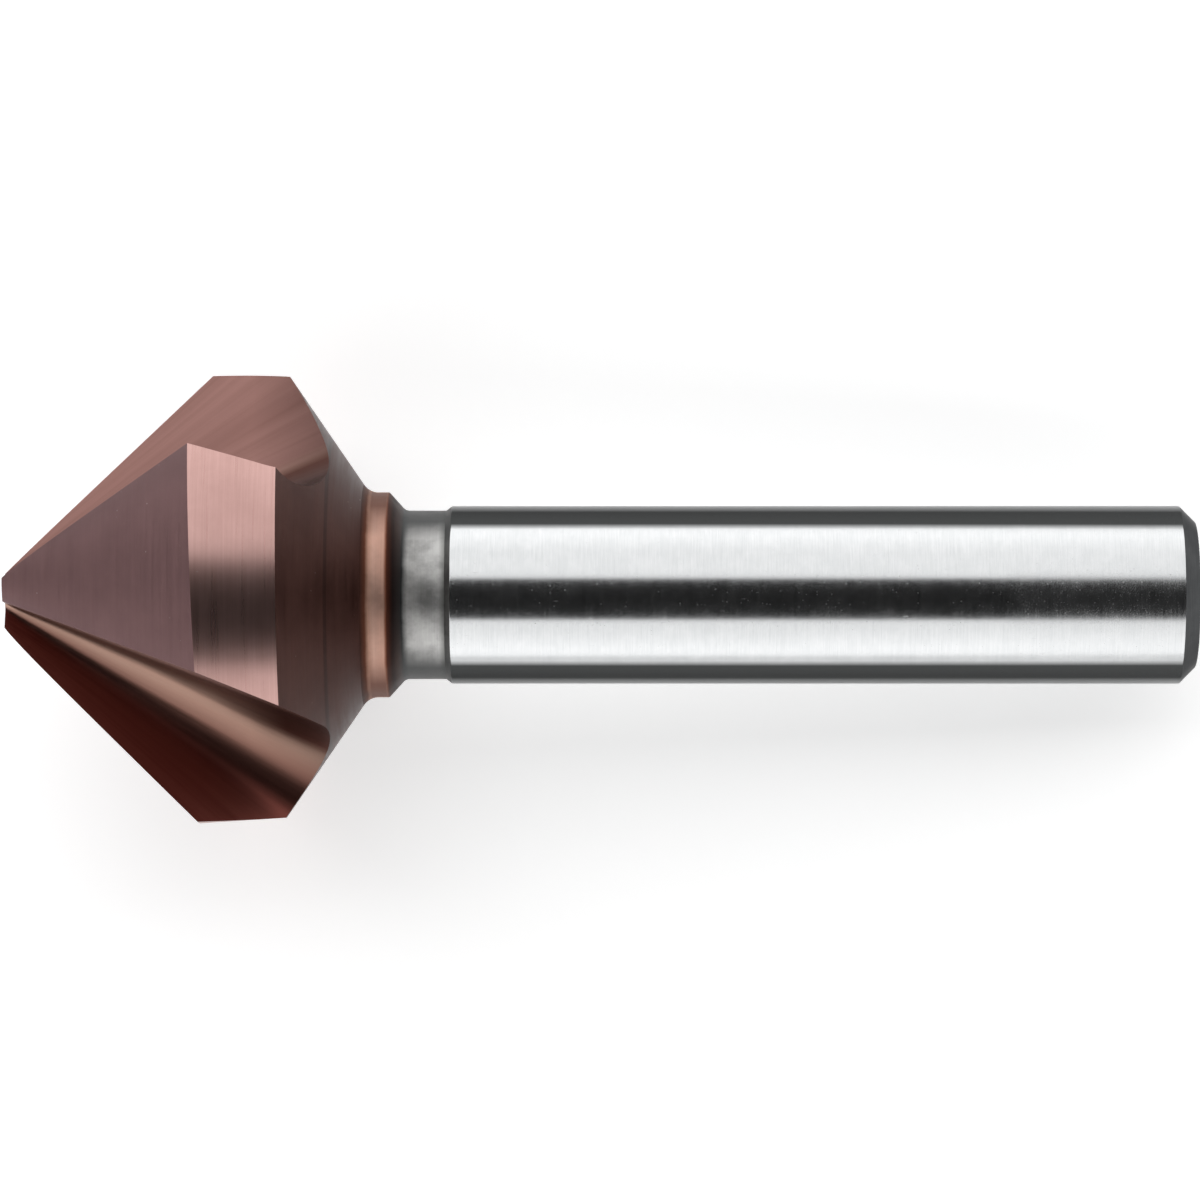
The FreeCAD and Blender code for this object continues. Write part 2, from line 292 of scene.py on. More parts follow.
@dataclass
class TurnedBlank:
    """The blank as it leaves the lathe, before the head is fluted and ground."""

    head: HeadSizes = field(default_factory=HeadSizes)
    shank: ShankSizes = field(default_factory=ShankSizes)

    @property
    def cone_foot(self) -> float:
        """Return where the back cone meets the collar."""
        drop = self.head.land_end_radius - self.shank.collar_diameter / 2
        return self.head.land_end + drop / self.head.back_slope

    @property
    def collar_end(self) -> float:
        """Return where the collar's rear edge is."""
        return self.cone_foot + self.shank.collar_length

    @property
    def neck_front(self) -> float:
        """Return where the collar's chamfer meets the neck."""
        drop = (self.shank.collar_diameter - self.shank.neck_diameter) / 2
        return self.collar_end + drop / math.tan(math.radians(self.shank.collar_chamfer_angle))

    @property
    def neck_end(self) -> float:
        """Return where the neck meets the shank's shoulder."""
        return self.neck_front + self.shank.neck_length

    @property
    def shank_front(self) -> float:
        """Return where the shank's full diameter starts."""
        rise = (self.shank.shank_diameter - self.shank.neck_diameter) / 2
        return self.neck_end + rise / math.tan(math.radians(self.shank.shoulder_angle))

    def corners(self) -> list[ProfileCorner]:
        """Lay out the turned outline.

        Returns:
            Its corners from the tip face's rim to the middle of the shank's end face, which
            only guides the rounding before it.
        """
        head, shank = self.head, self.shank
        stock_end = head.land_end - (head.land_relief + head.land_taper) / head.back_slope
        collar_radius = shank.collar_diameter / 2
        neck_radius = shank.neck_diameter / 2
        shank_radius = shank.shank_diameter / 2
        length = shank.overall_length
        return [
            ProfileCorner(0, head.tip_radius + head.land_relief),
            ProfileCorner(head.cone_length, head.stock_radius),
            ProfileCorner(stock_end, head.stock_radius),
            ProfileCorner(self.cone_foot, collar_radius, shank.back_fillet),
            ProfileCorner(self.collar_end, collar_radius, shank.collar_edge),
            ProfileCorner(self.neck_front, neck_radius, shank.neck_front_fillet),
            ProfileCorner(self.neck_end, neck_radius),
            ProfileCorner(self.shank_front, shank_radius, shank.shoulder_edge),
            ProfileCorner(length - shank.end_chamfer, shank_radius, shank.end_edge),
            ProfileCorner(length, shank_radius - shank.end_chamfer, shank.end_edge),
            ProfileCorner(length, 0),
        ]

    def build(self) -> bpy.types.Object:
        """Turn the outline round the axis.

        Returns:
            The blank in the tool's own frame.
        """
        angles = [FULL_TURN * step / ROUND_STEPS for step in range(ROUND_STEPS)]
        outline = rounded_outline(self.corners())[:-1]
        rings = [[around(point.x, point.y, angle) for angle in angles] for point in outline]
        return skinned("turned_blank", rings)


@dataclass
class FluteCutter:
    """The space that one flute's grinding wheel sweeps, in the tool's own frame.

    Across the tool the flute is drawn in a plane whose own X runs outwards along the rake
    wall of the first tooth.
    """

    head: HeadSizes
    far_station: float
    root_steps: int = 72

    @property
    def heel_turn(self) -> float:
        """Return the direction from the root arc's centre to where the heel wall starts."""
        return 1.5 * math.pi - math.radians(self.head.flute_opening_angle)

    @property
    def rake_turn(self) -> float:
        """Return the direction from the root arc's centre to where the rake wall starts."""
        return 0.5 * math.pi

    def at_station(self, at_tip: float, at_rim: float, station: float) -> float:
        """Return a size at a station, in line with its values at the tip and at the rim."""
        return at_tip + (at_rim - at_tip) * station / self.head.cone_length

    def corner(self, station: float) -> Vector:
        """Find where the two walls would meet.

        Args:
            station: Distance from the tip face.

        Returns:
            The corner in the flute's plane.
        """
        head = self.head
        depth = self.at_station(head.tip_root_depth, head.rim_root_depth, station)
        rake = self.at_station(head.tip_rake_offset, head.rim_rake_offset, station)
        return Vector((depth, rake))

    def root(self, station: float) -> tuple[Vector, float]:
        """Find the root arc.

        Args:
            station: Distance from the tip face.

        Returns:
            The arc's centre in the flute's plane, and its radius.
        """
        head = self.head
        radius = self.at_station(head.tip_root_radius, head.rim_root_radius, station)
        setback = radius / math.tan(math.radians(head.flute_opening_angle) / 2)
        return self.corner(station) + Vector((setback, -radius)), radius

    def section(self, station: float) -> list[Vector]:
        """Return the flute's closed section at a station.

        Args:
            station: Distance from the tip face.

        Returns:
            The ring of points: rake wall, rim, heel wall and root arc.
        """
        head = self.head
        opening = math.radians(head.flute_opening_angle)
        corner = self.corner(station)
        centre, radius = self.root(station)
        heel_way = Vector((math.cos(opening), -math.sin(opening)))
        flat = [
            corner + Vector((head.head_diameter, 0)),
            corner + heel_way * head.head_diameter,
        ]
        for step in range(self.root_steps + 1):
            share = step / self.root_steps
            angle = self.heel_turn + (self.rake_turn - self.heel_turn) * share
            flat.append(centre + radius * Vector((math.cos(angle), math.sin(angle))))
        turn = Matrix.Rotation(-math.radians(head.rake_angle), 2)
        return [Vector((station, *(turn @ point))) for point in flat]

    def build(self) -> bpy.types.Object:
        """Return the cutter."""
        stations = (-CUTTER_OVERRUN, self.far_station)
        return skinned("flute_cutter", [self.section(station) for station in stations])


@dataclass
class ReliefCutter:
    """The ring sector that grinds one tooth's flank about an axis beside the tool's own."""

    name: str
    head: HeadSizes
    relief: float
    outline: list[Span]
    steps: int = 120

    def build(self) -> bpy.types.Object:
        """Sweep the outline over one tooth's pitch.

        Returns:
            The cutter.
        """
        pitch = FULL_TURN / self.head.tooth_count
        middle = pitch / 4
        centre = around(0, self.relief, -math.radians(self.head.relief_phase))
        rings = []
        for step in range(self.steps + 1):
            angle = middle - pitch / 2 + pitch * step / self.steps
            rings.append([centre + around(along, out, angle) for along, out in self.outline])
        return skinned(self.name, rings)


@dataclass
class ToothGrinder:
    """The cutters that shape one tooth: its flute, its conical flank and its land."""

    blank: TurnedBlank

    @property
    def head(self) -> HeadSizes:
        """Return the head's sizes."""
        return self.blank.head

    @property
    def flute(self) -> FluteCutter:
        """Return the flute's cutter."""
        return FluteCutter(self.head, self.blank.cone_foot)

    def relief_distance(self, radius: float, angle: float, relief: float) -> float:
        """Return how far a point at a radius and angle of the tooth is from a relief axis."""
        spread = angle + math.radians(self.head.relief_phase)
        return math.sqrt(radius**2 + relief**2 - 2 * radius * relief * math.cos(spread))

    def cone_line(self) -> Span:
        """Find the conical flank's generating line.

        Returns:
            Its distance from the relief axis at the tip, and its slope.
        """
        head = self.head
        turn = math.pi / 2 - math.radians(head.rake_angle)
        turn -= math.acos(head.tip_rake_offset / head.tip_radius)
        at_tip = self.relief_distance(head.tip_radius, turn, head.cone_relief)
        at_rim = self.relief_distance(head.head_radius, 0, head.cone_relief)
        return at_tip, (at_rim - at_tip) / head.cone_length

    def land_line(self) -> Span:
        """Find the land's generating line.

        Returns:
            Its distance from the relief axis at the rim, and its slope.
        """
        head = self.head
        at_rim = self.relief_distance(head.head_radius, 0, head.land_relief)
        at_end = self.relief_distance(head.land_end_radius, 0, head.land_relief)
        return at_rim, (at_end - at_rim) / head.land_length

    def cutters(self) -> list[bpy.types.Object]:
        """Build the cutters of one tooth.

        Returns:
            The flute's, the cone's and the land's cutter.
        """
        head = self.head
        clear = head.clear_radius
        at_tip, cone_slope = self.cone_line()
        cone = [
            (-CUTTER_OVERRUN, at_tip - CUTTER_OVERRUN * cone_slope),
            ((clear - at_tip) / cone_slope, clear),
            (-CUTTER_OVERRUN, clear),
        ]
        at_rim, land_slope = self.land_line()
        margin = head.land_length / 2
        first, last = head.cone_length - margin, head.land_end + margin
        land = [
            (first, at_rim - margin * land_slope),
            (last, at_rim + (head.land_length + margin) * land_slope),
            (last, clear),
            (first, clear),
        ]
        return [
            self.flute.build(),
            ReliefCutter("cone_cutter", head, head.cone_relief, cone).build(),
            ReliefCutter("land_cutter", head, head.land_relief, land).build(),
        ]


class NodeSheet:
    """Adds and links the nodes of one tree."""

    def __init__(self, tree: bpy.types.NodeTree) -> None:
        """Keep the tree."""
        self.tree = tree

    def feed(self, target: Socket, value: object) -> None:
        """Link a socket or set its own value.

        Args:
            target: The input.
            value: A socket to link, or a number, colour, vector or object to set.
        """
        if isinstance(value, Socket):
            self.tree.links.new(value, target)
        else:
            target.default_value = (*value, 1.0) if target.type == "RGBA" else value

    def add(self, kind: str, inputs: Optional[dict[Union[str, int], object]] = None,
            **settings: object) -> bpy.types.Node:
        """Add a node.

        Args:
            kind: The node's type.
            inputs: A socket or a value for each input, by name or number.
            settings: The node's other settings.

        Returns:
            The node.
        """
        node = self.tree.nodes.new(kind)
        for name, value in settings.items():
            setattr(node, name, value)
        for key, value in (inputs or {}).items():
            self.feed(node.inputs[key], value)
        return node

    def math(self, operation: str, first: Value, second: Value = 0.0) -> Socket:
        """Return the result of a Math node for two sockets or numbers."""
        return self.add("ShaderNodeMath", {0: first, 1: second}, operation=operation).outputs[0]

    def blend(self, first: Socket, second: Socket, share: float) -> Socket:
        """Return a share of one value and the rest of another."""
        part = self.math("MULTIPLY", first, share)
        return self.math("ADD", part, self.math("MULTIPLY", second, 1 - share))

    def mix(self, factor: Value, low: Value, high: Value, blend_type: str = "MIX") -> Socket:
        """Mix two colours.

        Args:
            factor: How much of the second there is.
            low: A socket or a colour.
            high: A socket or a colour.
            blend_type: How the second meets the first.

        Returns:
            The mixed colour.
        """
        node = self.add("ShaderNodeMix", {"Factor": factor}, data_type="RGBA",
                        blend_type=blend_type)
        for index, colour in ((6, low), (7, high)):
            self.feed(node.inputs[index], colour)
        return node.outputs[2]

    def tinted(self, factor: Value, colour: Socket, tone: float) -> Socket:
        """Return a colour multiplied by a grey tone, as far as the factor says."""
        return self.mix(factor, colour, (tone,) * 3, "MULTIPLY")

    def remap(self, value: Socket, low: float, high: float, start: Value = 0.0,
              end: Value = 1.0) -> Socket:
        """Map a value from one range to another, held at the ends.

        Args:
            value: The value.
            low: The result at the start of the range.
            high: The result at the end of the range.
            start: Where the range starts.
            end: Where the range ends.

        Returns:
            The mapped value.
        """
        return self.add("ShaderNodeMapRange", {
            "Value": value, "From Min": start, "From Max": end, "To Min": low, "To Max": high,
        }).outputs["Result"]

    def window(self, value: Socket, rise: Span, fall: Span) -> Socket:
        """Return 1 between a rise and a fall of the value, and 0 outside them."""
        risen = self.remap(value, 0, 1, *rise)
        return self.math("MULTIPLY", risen, self.remap(value, 1, 0, *fall))

    def noise(self, spot: Socket, detail: float, roughness: float) -> Socket:
        """Add noise in cells of about one unit of the vector that it reads.

        Args:
            spot: The vector.
            detail: How many finer layers there are.
            roughness: How strong the finer layers are.

        Returns:
            The noise, which is mostly near 0.5.
        """
        return self.add("ShaderNodeTexNoise", {
            "Vector": spot, "Scale": 1.0, "Detail": detail, "Roughness": roughness,
        }).outputs["Fac"]


class ToothPattern:
    """A Geometry Nodes tree that repeats the cutters round the axis and takes them away."""

    def __init__(self, cutters: list[bpy.types.Object]) -> None:
        """Build the tree.

        Args:
            cutters: The cutters of one tooth, in the order of the cuts.
        """
        self.cutters = cutters
        self.tree = bpy.data.node_groups.new("ground_teeth", "GeometryNodeTree")
        self.tree.is_modifier = True
        self.sheet = NodeSheet(self.tree)
        self.inputs: dict[str, str] = {}
        self.make_interface()
        self.make_nodes()

    def make_interface(self) -> None:
        """Name the tree's inputs and its output, and keep the inputs' identifiers."""
        new_socket = self.tree.interface.new_socket
        kinds = {"Blank": "Geometry", "Teeth": "Int", "Sharp Angle": "Float",
                 "Material": "Material", **{cutter.name: "Object" for cutter in self.cutters}}
        for name, kind in kinds.items():
            socket = new_socket(name, in_out="INPUT", socket_type=f"NodeSocket{kind}")
            self.inputs[name] = socket.identifier
        new_socket("Tool", in_out="OUTPUT", socket_type="NodeSocketGeometry")

    def ring_of(self, source: bpy.types.Node, cutter: str) -> Socket:
        """Repeat a cutter round the tool's axis.

        Args:
            source: The tree's input node.
            cutter: The name of the input that holds the cutter.

        Returns:
            The socket with the instances.
        """
        sheet, teeth = self.sheet, source.outputs["Teeth"]
        info = sheet.add("GeometryNodeObjectInfo", {"Object": source.outputs[cutter]})
        points = sheet.add("GeometryNodePoints", {"Count": teeth})
        index = sheet.add("GeometryNodeInputIndex")
        pitch = sheet.math("DIVIDE", FULL_TURN, teeth)
        angle = sheet.math("MULTIPLY", index.outputs["Index"], pitch)
        turn = sheet.add("ShaderNodeCombineXYZ", {"X": angle})
        return sheet.add("GeometryNodeInstanceOnPoints", {
            "Points": points.outputs[0], "Instance": info.outputs["Geometry"],
            "Rotation": turn.outputs[0],
        }).outputs["Instances"]

    def make_nodes(self) -> None:
        """Cut, shade and finish the tool."""
        add = self.sheet.add
        source = add("NodeGroupInput")
        shape = source.outputs["Blank"]
        for cutter in self.cutters:
            shape = add("GeometryNodeMeshBoolean", {
                "Mesh 1": shape, "Mesh 2": self.ring_of(source, cutter.name),
            }, operation="DIFFERENCE", solver="MANIFOLD").outputs["Mesh"]
        realize = add("GeometryNodeRealizeInstances", {"Geometry": shape})
        smooth = add("GeometryNodeSetShadeSmooth", {"Geometry": realize.outputs[0]}, domain="FACE")
        angle = add("GeometryNodeInputMeshEdgeAngle")
        sharp = add("FunctionNodeCompare", {
            "A": angle.outputs["Unsigned Angle"], "B": source.outputs["Sharp Angle"],
        }, operation="GREATER_THAN")
        edges = add("GeometryNodeSetShadeSmooth", {
            "Geometry": smooth.outputs[0], "Selection": sharp.outputs["Result"],
            "Shade Smooth": False,
        }, domain="EDGE")
        dress = add("GeometryNodeSetMaterial", {
            "Geometry": edges.outputs[0], "Material": source.outputs["Material"],
        })
        add("NodeGroupOutput", {"Tool": dress.outputs[0]})

    def grind(self, blank: bpy.types.Object, teeth: int, name: str,
              material: bpy.types.Material) -> bpy.types.Object:
        """Grind a blank and return the result as a plain mesh.

        Args:
            blank: The turned blank.
            teeth: How many teeth there are.
            name: The new object's name.
            material: The finish of the ground faces.

        Returns:
            The ground tool; the blank and the cutters are removed.
        """
        modifier = blank.modifiers.new("ground_teeth", "NODES")
        modifier.node_group = self.tree
        modifier[self.inputs["Teeth"]] = teeth
        modifier[self.inputs["Sharp Angle"]] = SHARP_ANGLE
        modifier[self.inputs["Material"]] = material
        for cutter in self.cutters:
            modifier[self.inputs[cutter.name]] = cutter
        bpy.context.view_layer.update()
        graph = bpy.context.evaluated_depsgraph_get()
        mesh = bpy.data.meshes.new_from_object(blank.evaluated_get(graph))
        blank.modifiers.remove(modifier)
        for spare in [blank, *self.cutters]:
            bpy.data.objects.remove(spare)
        tool = bpy.data.objects.new(name, mesh)
        mesh.name = name
        bpy.context.scene.collection.objects.link(tool)
        return tool


@dataclass
class FaceSorter:
    """Tells which surface of the tool each face of the ground mesh belongs to."""

    grinder: ToothGrinder
    tolerance: float = 0.02

    def on_relief(self, point: Vector, relief: float, line: Span, start: float) -> bool:
        """Tell whether a point lies on one of the teeth's ground flanks.

        Args:
            point: The point, in the tool's own frame.
            relief: The relief axes' distance from the tool's axis.
            line: The flank's distance from its axis at the start, and its slope.
            start: The station where the flank's line starts.

        Returns:
            Whether it does, within the tolerance.
        """
        head = self.grinder.head
        wanted = line[0] + line[1] * (point.x - start)
        for tooth in range(head.tooth_count):
            turn = FULL_TURN * tooth / head.tooth_count - math.radians(head.relief_phase)
            spoke = point - around(point.x, relief, turn)
            if abs(spoke.length - wanted) < self.tolerance:
                return True
        return False

    def surface(self, point: Vector) -> Surface:
        """Tell which surface a face belongs to.

        Args:
            point: The face's centre, in the tool's own frame.

        Returns:
            The surface.
        """
        blank, head = self.grinder.blank, self.grinder.head
        if point.x > blank.shank.overall_length - self.tolerance:
            return Surface.END_FACE
        if point.x > blank.shank.overall_length - blank.shank.end_chamfer:
            return Surface.SHANK_END
        if point.x > blank.shank_front - self.tolerance:
            return Surface.SHANK
        fillet = blank.shank.back_fillet.radius
        if point.x > blank.cone_foot - fillet / 2:
            return Surface.COLLAR
        radius = math.hypot(point.y, point.z)
        back = head.land_end_radius - (point.x - head.land_end) * head.back_slope
        if point.x > head.land_end - self.tolerance and radius > back - self.tolerance:
            return Surface.BACK_CONE
        if point.x > blank.cone_foot - fillet:
            return Surface.BACK_CONE
        if point.x < self.tolerance:
            return Surface.CONE_FLANK
        land = self.grinder.land_line()
        if self.on_relief(point, head.land_relief, land, head.cone_length):
            return Surface.LAND
        if self.on_relief(point, head.cone_relief, self.grinder.cone_line(), 0):
            return Surface.CONE_FLANK
        return Surface.FLUTE

    def sort(self, tool: bpy.types.Object, finishes: dict[Surface, bpy.types.Material]) -> None:
        """Give each face its surface's material.

        Args:
            tool: The ground tool, still in its own frame.
            finishes: The material of each surface.
        """
        tool.data.materials.clear()
        for surface in Surface:
            tool.data.materials.append(finishes[surface])
        for polygon in tool.data.polygons:
            polygon.material_index = self.surface(polygon.center).value


@dataclass
class FluteMap:
    """Writes how far across its flute each point lies, as an attribute of the mesh."""

    cutter: FluteCutter

    def across(self, point: Vector) -> float:
        """Return a point's place across the nearest flute.

        Args:
            point: The point, in the tool's own frame.

        Returns:
            0 on the heel wall, 1 on the rake wall, and between them over the root arc.
        """
        cutter = self.cutter
        pitch = FULL_TURN / cutter.head.tooth_count
        angle = math.atan2(point.z, point.y) + math.radians(cutter.head.rake_angle)
        angle -= round(angle / pitch) * pitch
        radius = math.hypot(point.y, point.z)
        spoke = Vector((radius * math.cos(angle), radius * math.sin(angle)))
        spoke -= cutter.root(point.x)[0]
        turn = math.atan2(spoke.y, spoke.x) % FULL_TURN
        share = (turn - cutter.heel_turn) / (cutter.rake_turn - cutter.heel_turn)
        return min(max(share, 0.0), 1.0)

    def write(self, tool: bpy.types.Object) -> None:
        """Write the attribute on a tool that is still in its own frame."""
        data = tool.data.attributes.new(ACROSS_FLUTE, "FLOAT", "POINT").data
        data.foreach_set("value", [self.across(vertex.co) for vertex in tool.data.vertices])


@dataclass(frozen=True)
class Lines:
    """Fine lines round the axis: their spacing in millimetres, and how much they wander."""

    spacing: float
    wander: float


@dataclass(frozen=True)
class Blotches:
    """Soft blotches: their size in millimetres, and the noise between which they fade in."""

    size: float
    low: float = 0.35
    high: float = 0.65


@dataclass(frozen=True)
class Nicks:
    """Tiny nicks: the share of cells with one, their size, and the cells in a millimetre."""

    share: float
    size: float = 0.25
    density: float = 5.0


Pattern = Union[Lines, Blotches, Nicks]
NOISE_RANGE = (0.3, 0.7)
OUTLINE_TINT = (0.5, 0.5, 0.5)
# Painted shade: the dark grey that steel takes where it turns away from the eye.
PAINTED_OUTLINE_SHADE = (0.06, 0.062, 0.062)


def new_group(name: str, inputs: dict[str, str], outputs: dict[str, str]) -> NodeSheet:
    """Start a shader group.

    Args:
        name: The group's name.
        inputs: Its inputs with their kinds.
        outputs: Its outputs with their kinds.

    Returns:
        The group's sheet.
    """
    tree = bpy.data.node_groups.new(name, "ShaderNodeTree")
    for way, sockets in (("INPUT", inputs), ("OUTPUT", outputs)):
        for label, kind in sockets.items():
            tree.interface.new_socket(label, in_out=way, socket_type=f"NodeSocket{kind}")
    return NodeSheet(tree)


class FinishGroups:
    """The shader groups that the tool's finishes share."""

    def __init__(self, place: Matrix) -> None:
        """Build the groups.

        Args:
            place: The matrix from the tool's frame to the row's.
        """
        self.axis = (place.to_3x3() @ Vector((1, 0, 0))).normalized()
        self.frame = self.tool_frame(place)
        self.patterns = {Lines: self.ring_lines(), Blotches: self.soft_blotches(),
                         Nicks: self.scattered_nicks()}

    def tool_frame(self, place: Matrix) -> bpy.types.NodeTree:
        """Build the group that gives a point's place in the tool's own frame.

        Args:
            place: The matrix from the tool's frame to the row's.

        Returns:
            The group, which works in millimetres.
        """
        sheet = new_group("tool_frame", {}, {"Tool": "Vector", "Along": "Float"})
        location, turn, scale = place.decompose()
        spot = sheet.add("ShaderNodeTexCoord").outputs["Object"]
        tool = sheet.add("ShaderNodeMapping", {
            "Vector": spot, "Location": location, "Rotation": turn.to_euler("XYZ"),
            "Scale": scale,
        }, vector_type="TEXTURE").outputs[0]
        parts = sheet.add("ShaderNodeSeparateXYZ", {0: tool})
        sheet.add("NodeGroupOutput", {"Tool": tool, "Along": parts.outputs["X"]})
        return sheet.tree

    def ring_lines(self) -> bpy.types.NodeTree:
        """Build the fine lines that grinding and turning leave round the axis.

        Returns:
            The group.
        """
        sheet = new_group(
            "ring_lines", {"Tool": "Vector", "Spacing": "Float", "Wander": "Float"},
            {"Lines": "Float"})
        source = sheet.add("NodeGroupInput")
        parts = sheet.add("ShaderNodeSeparateXYZ", {0: source.outputs["Tool"]}).outputs
        wander = source.outputs["Wander"]
        stretched = sheet.add("ShaderNodeCombineXYZ", {
            "X": sheet.math("DIVIDE", parts["X"], source.outputs["Spacing"]),
            "Y": sheet.math("MULTIPLY", parts["Y"], wander),
            "Z": sheet.math("MULTIPLY", parts["Z"], wander),
        })
        noise = sheet.noise(stretched.outputs[0], detail=4.0, roughness=0.65)
        sheet.add("NodeGroupOutput", {"Lines": sheet.remap(noise, 0, 1, *NOISE_RANGE)})
        return sheet.tree

    def soft_blotches(self) -> bpy.types.NodeTree:
        """Build the soft blotches of a coating or of bare steel.

        Returns:
            The group.
        """
        sheet = new_group(
            "blotches", {"Tool": "Vector", "Size": "Float", "Low": "Float", "High": "Float"},
            {"Blotches": "Float"})
        source = sheet.add("NodeGroupInput")
        scaled = sheet.add("ShaderNodeVectorMath", {
            0: source.outputs["Tool"], "Scale": sheet.math("DIVIDE", 1.0, source.outputs["Size"]),
        }, operation="SCALE")
        noise = sheet.noise(scaled.outputs[0], detail=5.0, roughness=0.6)
        spread = sheet.remap(noise, 0, 1, source.outputs["Low"], source.outputs["High"])
        sheet.add("NodeGroupOutput", {"Blotches": spread})
        return sheet.tree

    def scattered_nicks(self) -> bpy.types.NodeTree:
        """Build the scattered tiny nicks that handling leaves.

        Returns:
            The group.
        """
        sheet = new_group(
            "nicks", {"Tool": "Vector", "Density": "Float", "Size": "Float", "Share": "Float"},
            {"Nicks": "Float"})
        source = sheet.add("NodeGroupInput")
        cells = sheet.add("ShaderNodeTexVoronoi", {
            "Vector": source.outputs["Tool"], "Scale": source.outputs["Density"],
        }).outputs
        near = sheet.remap(cells["Distance"], 1, 0, 0, source.outputs["Size"])
        parts = sheet.add("ShaderNodeSeparateColor", {0: cells["Color"]}).outputs
        chosen = sheet.math("LESS_THAN", parts["Red"], source.outputs["Share"])
        depth = sheet.math("MULTIPLY", near, parts["Green"])
        sheet.add("NodeGroupOutput", {"Nicks": sheet.math("MULTIPLY", chosen, depth)})
        return sheet.tree


class MetalSheet(NodeSheet):
    """The nodes of a metal finish, which reads the tool's own frame."""

    def __init__(self, name: str, groups: FinishGroups) -> None:
        """Start the material.

        Args:
            name: The material's name.
            groups: The shader groups that the finishes share.
        """
        self.material = bpy.data.materials.new(name)
        self.material.use_nodes = True
        super().__init__(self.material.node_tree)
        self.groups = groups
        self.shader = self.tree.nodes["Principled BSDF"]
        self.feed(self.shader.inputs["Metallic"], 1.0)
        place = self.add("ShaderNodeGroup", node_tree=groups.frame)
        self.tool = place.outputs["Tool"]
        self.along = place.outputs["Along"]

    def pattern(self, shape: Pattern, spot: Optional[Socket] = None) -> Socket:
        """Place a shared pattern with a finish's own values.

        Args:
            shape: The pattern and its values.
            spot: Where it is read, if not in the tool's own frame.

        Returns:
            The pattern, from 0 to 1.
        """
        values = {name.title(): value for name, value in vars(shape).items()}
        values["Tool"] = self.tool if spot is None else spot
        tree = self.groups.patterns[type(shape)]
        return self.add("ShaderNodeGroup", values, node_tree=tree).outputs[0]

    def facing(self) -> Socket:
        """Return how far the surface turns from the eye: 0 square to it, 1 edge on."""
        return self.add("ShaderNodeLayerWeight", {"Blend": 0.5}).outputs["Facing"]

    def leaning(self, angle: Value) -> Socket:
        """Turn the surface's normal round the tool's axis.

        Args:
            angle: The angle, in radians.

        Returns:
            The turned normal.
        """
        face = self.add("ShaderNodeNewGeometry")
        return self.add("ShaderNodeVectorRotate", {
            "Vector": face.outputs["Normal"], "Axis": self.groups.axis, "Angle": angle,
        }, rotation_type="AXIS_ANGLE").outputs[0]

    def finish(self, colour: Socket, matt: Socket, height: Socket, relief: float,
               normal: Optional[Socket] = None) -> bpy.types.Material:
        """Feed the shader.

        Args:
            colour: The base colour.
            matt: The roughness.
            height: The fine relief, from 0 to 1.
            relief: The relief's height, in millimetres.
            normal: The normal under the relief, if it isn't the surface's own.

        Returns:
            The material.
        """
        bump = self.add("ShaderNodeBump", {
            "Strength": 1.0, "Distance": relief * MM, "Height": height,
        })
        if normal is not None:
            self.feed(bump.inputs["Normal"], normal)
        self.feed(self.shader.inputs["Base Color"], colour)
        self.feed(self.shader.inputs["Roughness"], matt)
        self.feed(self.shader.inputs["Normal"], bump.outputs[0])
        return self.material


@dataclass(frozen=True)
class GroundCoating:
    """A coated face with grinding lines round the axis.

    The coating darkens to a set tone where it turns away from the eye: painted shade that
    stands for dark surroundings in reflection. Lean is the angle, in degrees, by which the
    shading leads the surface. Mark is the station of a dark line round the tool, in
    millimetres from the tip face.
    """

    name: str
    dark: Colour
    light: Colour
    roughness: Span
    lines: Lines
    relief: float = 0.004
    falloff: float = 1.0
    lean: float = 0.0
    mark: Optional[float] = None
    mark_width: float = 0.12
    mark_tone: float = 0.6
    blotches: Blotches = Blotches(3.0)
    line_share: float = 0.55
    nicks: Nicks = Nicks(0.015)
    nick_colour: Colour = (0.5, 0.42, 0.40)
    nick_matt: float = 0.3
    turning_away: Span = (0.29, 0.45)

    def material(self, groups: FinishGroups) -> bpy.types.Material:
        """Build the material.

        Args:
            groups: The shader groups that the finishes share.

        Returns:
            The material.
        """
        sheet = MetalSheet(self.name, groups)
        line = sheet.pattern(self.lines)
        shade = sheet.blend(line, sheet.pattern(self.blotches), self.line_share)
        colour = sheet.mix(shade, self.dark, self.light)
        if self.mark is not None:
            near, far = self.mark_width / 2, self.mark_width
            mark = sheet.window(sheet.along, (self.mark - far, self.mark - near),
                                (self.mark + near, self.mark + far))
            colour = sheet.tinted(mark, colour, self.mark_tone)
        # Painted shade: darker where the coating turns away from the eye.
        if self.falloff < 1:
            turned = sheet.remap(sheet.facing(), 0, 1, *self.turning_away)
            colour = sheet.tinted(turned, colour, self.falloff)
        nicks = sheet.pattern(self.nicks)
        colour = sheet.mix(nicks, colour, self.nick_colour)
        matt = sheet.math("ADD", sheet.remap(line, *self.roughness),
                          sheet.math("MULTIPLY", nicks, self.nick_matt))
        normal = sheet.leaning(math.radians(self.lean)) if self.lean else None
        return sheet.finish(colour, matt, line, self.relief, normal)


